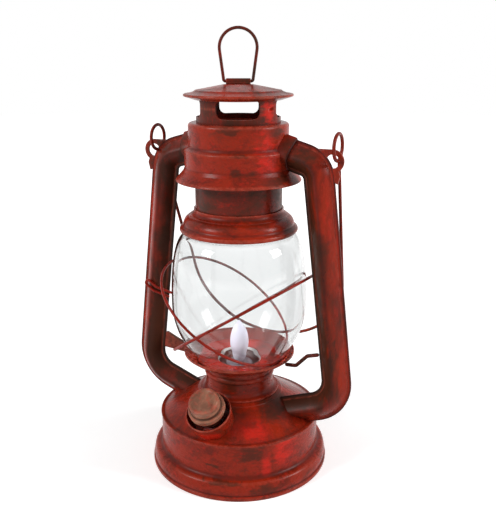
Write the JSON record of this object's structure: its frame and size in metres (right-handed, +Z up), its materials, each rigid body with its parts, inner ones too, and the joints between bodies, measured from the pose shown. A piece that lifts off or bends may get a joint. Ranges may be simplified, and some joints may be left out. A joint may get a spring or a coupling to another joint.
{
  "type": "led lantern",
  "caption": "Barn-style lantern with a round tank foot, clear globe and flame-shaped LED, side tubes, vented hood, finger loop and swinging wire bail; a knob on the tank switches it.",
  "frame": {"origin": "middle of the foot on the table", "axes": "+Z up; the knob is on the -Y side, the bail hangs on the +Y side and the side tubes stand at -X and +X"},
  "size_m": [0.1312, 0.1, 0.2375],
  "materials": {
    "red_paint": "satin red paint, rubbed to dark brown in patches",
    "brown_paint": "worn brown-red paint over steel",
    "bare_steel": "plain",
    "black_plastic": "matt, moulded",
    "white_plastic": "milky, smooth",
    "grey_plastic": "matt",
    "clear_glass": "clear, blown",
    "cell_label": "plain printed sleeve",
    "board_green": "solder mask",
    "lead_sleeve": "sleeved wire"
  },
  "bodies": {
    "lantern": {"tank_wall": "red_paint", "tank_top": "red_paint", "base_plate": "black_plastic", "battery_box": "black_plastic", "cell_1": "cell_label", "cell_2": "cell_label", "cell_3": "cell_label", "contact_springs": "bare_steel", "contact_plates": "bare_steel", "box_screws": "bare_steel", "circuit_board": "board_green", "board_screws": "bare_steel", "battery_leads": "lead_sleeve", "lamp_leads": "lead_sleeve", "switch_leads": "lead_sleeve", "neck": "red_paint", "tray_bowl": "red_paint", "burner_plate": "red_paint", "lamp_holder": "white_plastic", "lamp_base": "grey_plastic", "led": "white_plastic", "flame": "white_plastic", "globe": "clear_glass", "bell": "red_paint", "chimney": "red_paint", "hood": "red_paint", "vent_collar": "red_paint", "cap": "red_paint", "loop_strap": "brown_paint", "left_tube_front": "red_paint", "left_tube_back": "red_paint", "right_tube_front": "red_paint", "right_tube_back": "red_paint", "inner_hoop": "brown_paint", "outer_hoop": "brown_paint", "left_clip": "brown_paint", "tray_bracket": "brown_paint", "tray_brace": "brown_paint", "knob_cup": "red_paint", "switch_body": "black_plastic", "switch_nut": "bare_steel"},
    "bail": {"bail": "brown_paint"},
    "finger_loop": {"finger_loop": "brown_paint"},
    "knob": {"knob": "brown_paint", "switch_shaft": "bare_steel"},
    "battery_cover": {"battery_cover": "black_plastic"}
  },
  "joints": [
    {"name": "bail_hinge", "type": "hinge", "parent": "lantern", "child": "bail", "pos_m": [0, 0, 0.18087], "axis": [1, 0, 0], "range_deg": [0, 320]},
    {"name": "loop_hinge", "type": "hinge", "parent": "lantern", "child": "finger_loop", "pos_m": [0, 0, 0.21108], "axis": [0.9063, 0.4226, 0], "range_deg": [-95, 95]},
    {"name": "knob_turn", "type": "hinge", "parent": "lantern", "child": "knob", "pos_m": [0, -0.0326, 0.03601], "axis": [0, 0.5225, -0.8526], "range_deg": [0, 270]},
    {"name": "cover_slide", "type": "slide", "parent": "lantern", "child": "battery_cover", "axis": [1, 0, 0], "range_m": [0, 0.007]}
  ]
}
